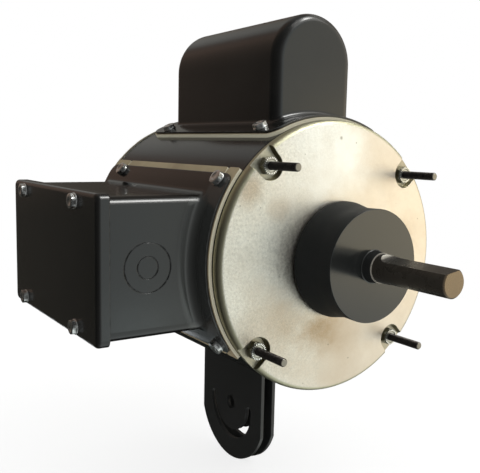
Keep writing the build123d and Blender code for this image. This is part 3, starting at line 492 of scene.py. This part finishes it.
# fine stripes across the shaft line, a wave of the given pitch: sheets of a stack, or wires of a winding
def stripedFinish(name, first, second, pitch, rough, metallic):
    finish, tree, shader, where = newFinish(name, metallic)
    stripes = put(tree, "ShaderNodeTexWave", {"wave_type": "BANDS", "bands_direction": "Y"}, Vector=where,
                  Scale=0.314 / pitch, Distortion=0.8).outputs["Fac"]
    dress(tree, shader, mixColour(tree, stripes, first, second), spreadValue(tree, stripes, *rough))
    addBump(tree, shader, stripes, 0.4, 0.0002)
    return finish


lamination = stripedFinish("laminationSteel", (0.16, 0.16, 0.165, 1), (0.34, 0.34, 0.35, 1), 0.6 * mm,
                           (0.35, 0.5), 1.0)
copperWire = stripedFinish("copperWire", (0.38, 0.13, 0.05, 1), (0.62, 0.27, 0.12, 1), 1.0 * mm,
                           (0.25, 0.4), 0.8)

finishOf = {
    "motor_shell": blackEnamel, "capacitor_cover": blackEnamel, "conduit_box": boxEnamel,
    "box_cover": blackEnamel, "yoke_plate_left": yokeEnamel, "yoke_plate_right": yokeEnamel,
    "front_end_shield": castAluminium, "rear_end_shield": castAluminium,
    "shaft": shaftSteel, "slinger": slingerRubber, "through_bolts": blackOxide,
    "stud_nuts": nutZinc, "toothed_washers": ringZinc,
    "capacitor_gasket": gasketSheet, "box_gasket": gasketSheet, "cover_gasket": gasketSheet,
    "capacitor_cover_screws": zincSteel, "box_screws": zincSteel, "cover_screws": zincSteel,
    "board_screws": zincSteel, "ground_screw": groundGreen, "terminal_board": phenolic, "terminals": brass,
    "lead_grommet": blackRubber, "capacitor_pad": blackRubber, "capacitor": canAluminium,
    "capacitor_tabs": brass, "capacitor_strap": zincSteel, "spring_washer": cageSteel,
    "stator_core": lamination, "rotor_core": lamination, "rotor_cage": castAluminium,
    "stator_winding": copperWire,
}
for name, node in nodes.items():
    finish = finishOf.get(name, cageSteel if name.endswith("cage") else bearingSteel)
    if not node.material_slots:
        node.data.materials.append(finish)
    for slot in node.material_slots:
        slot.material = finish
print("finishes on the nodes")

# end shields: a profile of radius and depth turned about the shaft, its front face pressed down to
# the pocket floor wherever the outline of a pocket, a circle open to the rim, says so
shieldValues = dict(rimR=82.5, rimDepth=rimDepth, rimRound=3.5, domeRise=3.3, domeFlat=38.0, boreR=13.0,
                    seatR=20.0, seatDepth=4.2, bossR=25.5, bossEnd=18.1, spigotR=79.95, spigotIn=75.45,
                    spigotEnd=13.0, wall=6.5, boltR=74.6, boltTurn=42.0, pocketR=8.0, pocketFlare=1.3,
                    pocketFloor=3.2, pocketSoft=0.34, floorShade=0.6, fineR=62.0, fineStep=0.2, fineTurn=9.0,
                    fineTurns=109, coarseTurns=17, crease=50)


def shieldGrid(v, closed):
    slope = v["domeRise"] / (v["rimR"] - v["domeFlat"])
    tilt = np.arctan(slope)
    roundR = v["rimR"] - v["rimRound"]
    roundY = -v["domeRise"] + (roundR - v["domeFlat"]) * slope + v["rimRound"] / np.cos(tilt)
    turn = np.linspace(tilt - np.pi / 2, 0.0, 14)
    rimArc = np.stack([roundR + v["rimRound"] * np.cos(turn), roundY + v["rimRound"] * np.sin(turn)], axis=1)
    faceR = np.concatenate([np.linspace(v["boreR"], v["domeFlat"] - 1, 8),
                            np.linspace(v["domeFlat"], v["fineR"], 10),
                            np.arange(v["fineR"] + 1.0, roundR, v["fineStep"])])
    faceY = -v["domeRise"] + np.maximum(faceR - v["domeFlat"], 0.0) * slope
    side = np.linspace([v["rimR"], roundY + 0.2], [v["rimR"], v["rimDepth"]], 6)
    back = np.array([
        (v["spigotR"], v["rimDepth"]), (v["spigotR"], v["spigotEnd"]), (v["spigotIn"], v["spigotEnd"]),
        (v["spigotIn"], v["wall"]), (v["bossR"], v["wall"] - v["domeRise"]), (v["bossR"], v["bossEnd"]),
        (v["seatR"], v["bossEnd"]), (v["seatR"], v["seatDepth"])])
    if closed:
        back = np.vstack([back, [(0.0, v["seatDepth"])]])
        faceR = np.concatenate([[0.0, 5.0], faceR])
        faceY = np.concatenate([[faceY[0], faceY[0]], faceY])
    else:
        back = np.vstack([back, [(v["boreR"], v["seatDepth"])]])
    profile = np.concatenate([np.stack([faceR, faceY], axis=1), rimArc, side, back])
    fineTurn = v["fineTurn"]
    quarter = np.concatenate([np.linspace(-45.0, -fineTurn, v["coarseTurns"])[:-1],
                              np.linspace(-fineTurn, fineTurn, v["fineTurns"]),
                              np.linspace(fineTurn, 45.0, v["coarseTurns"])[1:-1]])
    a = np.radians(np.concatenate([quarter + v["boltTurn"] + 90.0 * k for k in range(4)]))
    lean = np.radians(np.tile(quarter, 4))
    r = profile[:, :1]
    y = np.repeat(profile[:, 1:], len(a), axis=1)
    u = r * np.cos(lean) - v["boltR"]
    w = np.abs(r * np.sin(lean))
    reach = v["rimR"] - v["boltR"] + 2.0
    off = np.where(u < 0, np.hypot(u, w), w - v["pocketFlare"] * (u / reach) ** 2) - v["pocketR"]
    m = np.clip((v["pocketSoft"] - off) / (2 * v["pocketSoft"]), 0.0, 1.0)
    drop = np.maximum(v["pocketFloor"] - y, 0.0)
    y = y + drop * m * m * (3 - 2 * m)
    # painted shade: full on the pocket walls, floorShade on the pocket floors
    wall = np.where(m < 1, 1.0 * (m > 0), v["floorShade"]) * np.clip(drop, 0.0, 1.0)
    return np.stack([r * np.cos(a), y, r * np.sin(a)], axis=-1), wall


frontSpots, frontWall = shieldGrid(shieldValues, False)
makePiece("frontShield", [gridQuads(frontSpots, True, True)], castAluminium,
          "motor_frame", "front_end_shield", shieldValues["crease"], frontWall)
rearSpots, rearWall = shieldGrid(shieldValues, True)
rearSpots[..., 1] = (rearY - rimY) / mm - rearSpots[..., 1]
makePiece("rearShield", [gridQuads(rearSpots, True, True)], castAluminium,
          "motor_frame", "rear_end_shield", shieldValues["crease"], rearWall)
print("end shields turned")

coneSlope = 0.577  # the cone of 30 degrees that cuts a hexagon's corners


def ring(count):
    return np.arange(count) * (2 * np.pi / count)


# direction away from the shaft line at an angle
def outAt(turn):
    return np.array([np.cos(turn), 0.0, np.sin(turn)])


# radius of a hexagon with softened corners, by angle
def hexRadius(angle, flats, soft=0.12):
    lean = (angle + np.pi / 6) % (np.pi / 3) - np.pi / 6
    return np.minimum(flats / 2 / np.cos(lean), flats / np.sqrt(3) - soft)


# a column of (radius, height) rows, each radius either a number or one value per angle
def turnedGrid(rows, angle):
    r = np.stack([np.broadcast_to(row[0], angle.shape) for row in rows])
    h = np.stack([np.broadcast_to(row[1], angle.shape) for row in rows])
    return np.stack([r * np.cos(angle), r * np.sin(angle), h], axis=-1)


# local z goes along axis, local x along side
def stand(points, spot, axis, side):
    z = np.array(axis) / np.linalg.norm(axis)
    x = np.array(side) - np.dot(side, z) * z
    x = x / np.linalg.norm(x)
    return points @ np.stack([x, np.cross(z, x), z]) + np.array(spot)


# through bolts: a rolled thread is a helix, its depth a trapezoid wave of turn plus depth
boltValues = dict(r=2.413, pitch=0.794, threadDepth=0.3, tip=studTip, tipR=0.9, chamfer=0.6, threadEnd=1.5,
                  runOut=2.0, rodR=2.3, seat=176.3, headFlats=9.53, headHeight=3.6, faceShare=0.92, circleR=74.6,
                  turns=(42.0, 132.0, 222.0, 312.0))


def boltGrid(v):
    angle = ring(36)
    depth = np.arange(v["tip"], v["threadEnd"], v["pitch"] / 8)
    phase = (depth[:, None] / v["pitch"] + angle / (2 * np.pi)) % 1.0
    wave = np.clip(1.5 * np.abs(2 * phase - 1) - 0.25, 0.0, 1.0)
    run = np.clip((v["threadEnd"] - depth) / v["runOut"], 0.0, 1.0)[:, None]
    thread = v["r"] - v["threadDepth"] * wave * run
    thread = np.minimum(thread, (v["r"] - v["chamfer"] + depth - v["tip"])[:, None])
    hexR = hexRadius(angle, v["headFlats"])
    top = v["seat"] + v["headHeight"]
    face = v["faceShare"] * v["headFlats"] / 2
    rows = [(0.0, v["tip"]), (v["tipR"], v["tip"])] + list(zip(thread, depth))
    rows += [(v["rodR"], v["threadEnd"] + 0.4), (v["rodR"], v["seat"]), (hexR, v["seat"]),
             (hexR, top - (hexR - face) * coneSlope), (face, top), (0.0, top)]
    return turnedGrid(rows, angle)


# nuts: a hexagon cut by a cone at both ends, bored for the stud
nutValues = dict(flats=9.53, low=-0.7, high=3.2, boreR=2.46, boreCut=0.45, faceShare=0.93, turn=11.0)


def nutGrid(v):
    angle = ring(72)
    hexR = hexRadius(angle, v["flats"])
    face = v["faceShare"] * v["flats"] / 2
    drop = (hexR - face) * coneSlope
    rows = [(v["boreR"], v["high"]), (face, v["high"]), (hexR, v["high"] - drop), (hexR, v["low"] + drop),
            (face, v["low"]), (v["boreR"] + v["boreCut"], v["low"]), (v["boreR"], v["low"] + v["boreCut"])]
    return turnedGrid(rows, angle)


# toothed washer: follows the nut's hexagon, its edge cut by a wave of the angle into a raised band of teeth; its
# hollow and the gaps between teeth get painted shade
washerValues = dict(flats=10.0, soft=0.67, notch=0.7, teeth=24, boreR=2.5, ringR=3.1, front=-1.7, sheet=0.5,
                    rise=0.42, band=1.15, hollowShade=0.6, rootShade=0.7)


def washerGrid(v):
    angle = ring(v["teeth"] * 10)
    phase = (angle * v["teeth"] / (2 * np.pi)) % 1.0
    tooth = np.clip(4.0 * np.minimum(phase, 1.0 - phase) - 0.5, 0.0, 1.0)
    edge = hexRadius(angle, v["flats"], v["soft"])
    outer = edge - v["notch"] * (1 - tooth)
    inner = edge - v["band"]
    front = v["front"]
    hollow = front + v["rise"]
    back = hollow + v["sheet"]
    rows = [(v["boreR"], hollow), (v["ringR"], hollow), (inner - 0.1, hollow), (inner, front),
            (outer - 0.05, front), (outer, front + 0.08), (outer, back - 0.1), (v["boreR"], back)]
    # shade rows: painted shade in the hollow and the gaps between teeth, none on the teeth
    gaps = 1 - tooth
    dark = np.ones_like(gaps)
    floor = v["hollowShade"] * dark
    shade = np.stack([floor, floor, dark, v["rootShade"] * gaps, gaps, gaps, dark, dark])
    return turnedGrid(rows, angle), shade


boltLocal = boltGrid(boltValues)
nutLocal = nutGrid(nutValues)
washerLocal, washerShade = washerGrid(washerValues)
boltGrids, nutGrids, washerGrids = [], [], []
for k, turn in enumerate(np.radians(boltValues["turns"])):
    out = outAt(turn)
    spot = boltValues["circleR"] * out
    side = outAt(turn + np.radians(nutValues["turn"] * (k + 1)))
    boltGrids.append(gridQuads(stand(boltLocal, spot, (0, 1, 0), out), False, True))
    nutGrids.append(gridQuads(stand(nutLocal, spot, (0, 1, 0), side), True, True))
    washerGrids.append(gridQuads(stand(washerLocal, spot, (0, 1, 0), side), True, True))
makePiece("studs", boltGrids, blackOxide, "motor_frame", "through_bolts")
makePiece("nuts", nutGrids, nutZinc, "motor_frame", "stud_nuts")
makePiece("toothedWashers", washerGrids, ringZinc, "motor_frame", "toothed_washers",
          shade=np.tile(washerShade.ravel(), len(boltValues["turns"])))
print("studs, nuts and washers made")

# hexagon washer-head screws: dished top, cone-cut corners, a washer with a soft edge, a shank
screwValues = dict(flats=7.94, soft=0.25, washerR=4.5, washer=0.9, head=2.4, faceShare=0.93, dishR=2.2, dish=0.5,
                   shankR=2.0, reach=9.0, spin=17.0)


def screwGrid(v):
    angle = ring(72)
    hexR = hexRadius(angle, v["flats"], v["soft"])
    foot = np.minimum(hexR + 0.2, v["washerR"] - 0.12)
    top = v["washer"] + v["head"]
    face = v["faceShare"] * v["flats"] / 2
    rows = [(0.0, top - v["dish"]), (0.6 * v["dishR"], top - v["dish"]), (v["dishR"], top - 0.5 * v["dish"]),
            (v["dishR"] + 0.35, top), (face, top), (hexR, top - (hexR - face) * coneSlope),
            (hexR, v["washer"] + 0.25), (foot, v["washer"]), (v["washerR"] - 0.1, v["washer"] - 0.1),
            (v["washerR"], v["washer"] - 0.3), (v["washerR"], 0.1), (v["washerR"] - 0.1, 0.0),
            (v["shankR"], 0.0), (v["shankR"], -v["reach"]), (0.0, -v["reach"])]
    return turnedGrid(rows, angle)


screwLocal = screwGrid(screwValues)


# screws on a saddle stand on a radius of the shell, at angles either side of its middle
def saddleScrews(name, mid, half, depths, stands):
    grids = []
    along = np.array([0.0, 1.0, 0.0])
    for k, (turn, depth) in enumerate([(mid + s * half, y) for s in (-1, 1) for y in depths]):
        out = outAt(np.radians(turn))
        spin = np.radians(screwValues["spin"] * (2 * k + 1))
        side = np.cos(spin) * along + np.sin(spin) * np.cross(out, along)
        grids.append(gridQuads(stand(screwLocal, saddleR * out + depth * along, out, side), False, True))
    makePiece(name, grids, zincSteel, "motor_frame", stands)


saddleScrews("capCoverScrews", 90.0, 25.94, (27.6, 143.0), "capacitor_cover_screws")
saddleScrews("boxSaddleScrews", 180.80, 34.22, (19.1, 149.5), "box_screws")
coverValues = dict(face=-143.5, drop=-1.2, half=35.4, depths=(52.5, 144.3))
coverGrids = []
for k, (y, s) in enumerate([(y, s) for y in coverValues["depths"] for s in (-1, 1)]):
    spin = np.radians(screwValues["spin"] * (3 * k + 1))
    spot = (coverValues["face"], y, coverValues["drop"] + s * coverValues["half"])
    side = (0.0, np.cos(spin), np.sin(spin))
    coverGrids.append(gridQuads(stand(screwLocal, spot, (-1, 0, 0), side), False, True))
makePiece("boxCoverScrews", coverGrids, zincSteel, "motor_frame", "cover_screws")
print("screws made")

# floor: pale paper, round and fading out, thin to the camera so that it keeps a soft shadow on white, and
# clear from below
floorValues = dict(size=0.9, gap=0.0004, rings=25, sides=96, clear=0.25, gone=0.7, colour=(0.93, 0.93, 0.925, 1),
                   rough=0.9, gloss=0.1, thin=0.7, lift=0.1)
floorZ = cadBox[0][2] - floorValues["gap"]
radius = floorValues["size"] * np.linspace(0.0, 1.0, floorValues["rings"])[:, None]
angle = np.linspace(0.0, 2 * np.pi, floorValues["sides"] + 1)[None, :-1]
floorSpots = np.stack([radius * np.cos(angle), radius * np.sin(angle), np.full_like(radius * angle, floorZ)],
                      axis=-1)
spots, quads = gridQuads(floorSpots, False, True)
floorMesh = bpy.data.meshes.new("floor")
floorMesh.from_pydata(spots.tolist(), [], quads.tolist())
floorMesh.validate()
floor = bpy.data.objects.new("floor", floorMesh)
bpy.context.scene.collection.objects.link(floor)
floorFinish, tree, shader, where = newFinish("floorPaper")
dress(tree, shader, floorValues["colour"], floorValues["rough"])
shader.inputs["Specular IOR Level"].default_value = floorValues["gloss"]
far = vectorCalc(tree, "LENGTH", where)
fade = remap(tree, far, floorValues["clear"], floorValues["gone"], smooth=True)
rays = put(tree, "ShaderNodeLightPath").outputs
veil = calc(tree, "MULTIPLY", rays["Is Camera Ray"], floorValues["thin"])
under = put(tree, "ShaderNodeNewGeometry").outputs["Backfacing"]
for other in (fade, rays["Is Glossy Ray"], under):
    veil = calc(tree, "MAXIMUM", veil, other)
lift = calc(tree, "MULTIPLY", rays["Is Camera Ray"], floorValues["lift"] / (1 - floorValues["thin"]))
shader.inputs["Emission Color"].default_value = (1, 1, 1, 1)
feed(tree, shader, "Emission Strength", lift)
clear = put(tree, "ShaderNodeBsdfTransparent")
blend = put(tree, "ShaderNodeMixShader", i0=veil, i1=shader.outputs[0], i2=clear.outputs[0])
tree.links.new(blend.outputs[0], tree.nodes["Material Output"].inputs["Surface"])
floorMesh.materials.append(floorFinish)

# room: white to the camera and even light on the object. Reflections see a front and a back half, each with
# stops of colour along X and then patches: tint, blend, and steps of direction whose product is their share.
# In front: a dimmer low right, a warm wall, a dim ceiling, a glow low at the left, a soft box overhead.
# Behind: a dim low half, a shadow, a pale sky and two strips of bright backdrop
room = dict(level=0.72, gain=1.3, turn=(0.15, -0.15),
            front=((-1.0, (0.03, 0.03, 0.028, 1)), (-0.5, (0.10, 0.10, 0.10, 1)), (-0.1, (0.26, 0.27, 0.265, 1)),
                   (0.2, (0.56, 0.59, 0.58, 1)), (0.4, (0.87, 0.95, 0.94, 1)), (0.55, (0.93, 0.96, 0.88, 1)),
                   (0.64, (0.99, 0.98, 0.88, 1)), (1.0, (0.92, 0.85, 0.74, 1))),
            back=((-1.0, (0.02, 0.02, 0.02, 1)), (-0.6, (0.085, 0.068, 0.054, 1)),
                  (-0.35, (0.17, 0.125, 0.098, 1)), (-0.2, (0.26, 0.18, 0.14, 1)), (-0.07, (0.16, 0.12, 0.10, 1)),
                  (0.02, (0.28, 0.275, 0.26, 1)), (0.15, (0.31, 0.305, 0.285, 1)), (0.34, (0.20, 0.19, 0.17, 1)),
                  (0.5, (0.10, 0.075, 0.06, 1)), (1.0, (0.3, 0.28, 0.25, 1))),
            frontPatches=(
                ((0.82, 0.84, 0.86, 1), "MULTIPLY", ("X", 0.52, 0.64), ("Z", -0.16, -0.28)),
                ((1.75, 1.6, 1.32, 1), "MULTIPLY", ("X", 0.57, 0.68), ("Z", -0.26, -0.13), ("Z", 0.12, 0.0)),
                ((0.65, 0.65, 0.65, 1), "MULTIPLY", ("Z", 0.35, 0.6)),
                ((1.6, 1.65, 1.65, 1), "MULTIPLY", ("X", 0.34, 0.38), ("X", 0.51, 0.48), ("Z", -0.2, -0.26),
                 ("Z", -0.335, -0.295)),
                ((14.0, 14.0, 13.6, 1), "MIX", ("X", 0.33, 0.37), ("X", 0.53, 0.49), ("Z", 0.69, 0.75),
                 ("Z", 0.95, 0.9), ("Y", -0.25, -0.35))),
            backPatches=(
                ((0.22, 0.28, 0.29, 1), "MULTIPLY", ("Z", 0.05, -0.1)),
                ((0.25, 0.23, 0.21, 1), "MULTIPLY", ("X", 0.12, 0.25), ("X", 0.6, 0.5), ("Z", 0.26, 0.12)),
                ((0.6, 0.6, 0.57, 1), "MIX", ("X", 0.45, 0.6), ("Z", 0.55, 0.7)),
                ((2.4, 2.5, 2.6, 1), "MIX", ("X", -0.05, -0.035), ("X", -0.005, -0.02), ("Z", -0.34, -0.38),
                 ("Z", -0.56, -0.5)),
                ((2.4, 2.5, 2.6, 1), "MIX", ("X", 0.09, 0.10), ("X", 0.14, 0.13), ("Z", -0.34, -0.38),
                 ("Z", -0.56, -0.5))))
world = bpy.data.worlds.new("studio")
bpy.context.scene.world = world
world.use_nodes = True
tree = world.node_tree
direction = axes(tree, put(tree, "ShaderNodeTexCoord").outputs["Generated"])


def roomStep(axis, start, end):
    return remap(tree, direction[axis], start, end, smooth=True)


def roomHalf(stops, patches):
    across = remap(tree, direction["X"], -1.0, 1.0)
    half = colourRamp(tree, across, [((x + 1) / 2, tint) for x, tint in stops])
    for tint, blend, *steps in patches:
        share = roomStep(*steps[0])
        for step in steps[1:]:
            share = calc(tree, "MULTIPLY", share, roomStep(*step))
        half = mixColour(tree, share, half, tint, blend)
    return half


around = mixColour(tree, roomStep("Y", *room["turn"]), roomHalf(room["back"], room["backPatches"]),
                   roomHalf(room["front"], room["frontPatches"]))
gain, level = room["gain"], room["level"]
around = mixColour(tree, 1.0, around, (gain, gain, gain, 1), "MULTIPLY")
rays = put(tree, "ShaderNodeLightPath").outputs
shine = calc(tree, "MAXIMUM", rays["Is Glossy Ray"], rays["Is Transmission Ray"])
lit = mixColour(tree, shine, (level, level, level, 1), around)
seen = mixColour(tree, rays["Is Camera Ray"], lit, (1, 1, 1, 1))
tree.links.new(seen, tree.nodes["Background"].inputs["Color"])

# a square soft lamp that looks at a point
lampValues = dict(spot=(0.47, -0.67, 1.17), target=(-0.05, -0.05, 0.13), size=0.9, power=4.5,
                  tint=(1.0, 0.98, 0.95))
lamp = bpy.data.lights.new("keyLamp", "AREA")
lamp.size = lampValues["size"]
lamp.energy = lampValues["power"]
lamp.color = lampValues["tint"]
keyLamp = bpy.data.objects.new("keyLamp", lamp)
bpy.context.scene.collection.objects.link(keyLamp)
keyLamp.location = lampValues["spot"]
sight = Vector(lampValues["target"]) - Vector(lampValues["spot"])
keyLamp.rotation_euler = sight.to_track_quat("-Z", "Y").to_euler()

# camera: stand point, heading, pitch and roll found from the outlines of the round pieces
cameraValues = dict(spot=(-0.2792, -0.4200, 0.1885), heading=-33.54, pitch=7.33, roll=1.23, lens=52.515,
                    sensor=36.0, near=0.01)
heading, pitch, roll = np.radians([cameraValues[k] for k in ("heading", "pitch", "roll")])
back = Vector((np.sin(heading) * np.cos(pitch), -np.cos(heading) * np.cos(pitch), np.sin(pitch)))
across = Vector((np.cos(heading), np.sin(heading), 0.0))
right = np.cos(roll) * across + np.sin(roll) * back.cross(across)
upward = back.cross(right)
cameraData = bpy.data.cameras.new("camera")
cameraData.sensor_width = cameraValues["sensor"]
cameraData.lens = cameraValues["lens"]
cameraData.clip_start = cameraValues["near"]
camera = bpy.data.objects.new("camera", cameraData)
bpy.context.scene.collection.objects.link(camera)
turn = Matrix((right, upward, back)).transposed().to_4x4()
camera.matrix_world = Matrix.Translation(cameraValues["spot"]) @ turn
bpy.context.scene.camera = camera
bpy.context.scene.view_settings.view_transform = "Standard"
print("floor, lamp and camera set")
